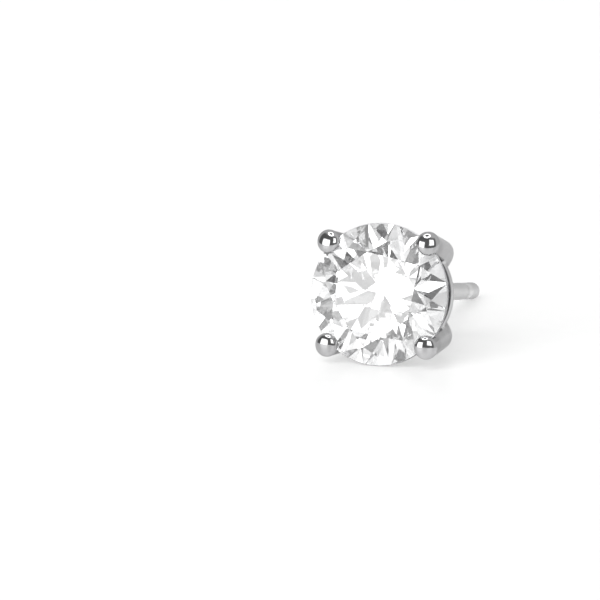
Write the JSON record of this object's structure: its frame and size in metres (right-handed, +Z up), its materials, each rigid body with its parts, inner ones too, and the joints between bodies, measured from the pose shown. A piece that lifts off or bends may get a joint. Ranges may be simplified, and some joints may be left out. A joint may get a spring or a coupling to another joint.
{
  "type": "stud earring",
  "caption": "Stud earring: a round brilliant-cut stone gripped by domed wire claws in an open basket, with a gallery rail and a straight grooved ear post.",
  "frame": {"origin": "on the surface that the stud lies on, under the middle of its bounding box", "axes": "+Z up from that surface, +Y from the stone towards the tip of the ear post, +X to the right of someone who faces the stone"},
  "size_m": [0.0066, 0.0158, 0.0064],
  "materials": {
    "stone": "polished facets, colourless and clear",
    "setting": "polished white metal with a rhodium-like look"
  },
  "bodies": {
    "root": {"stone": "stone", "setting": "setting"}
  },
  "joints": []
}
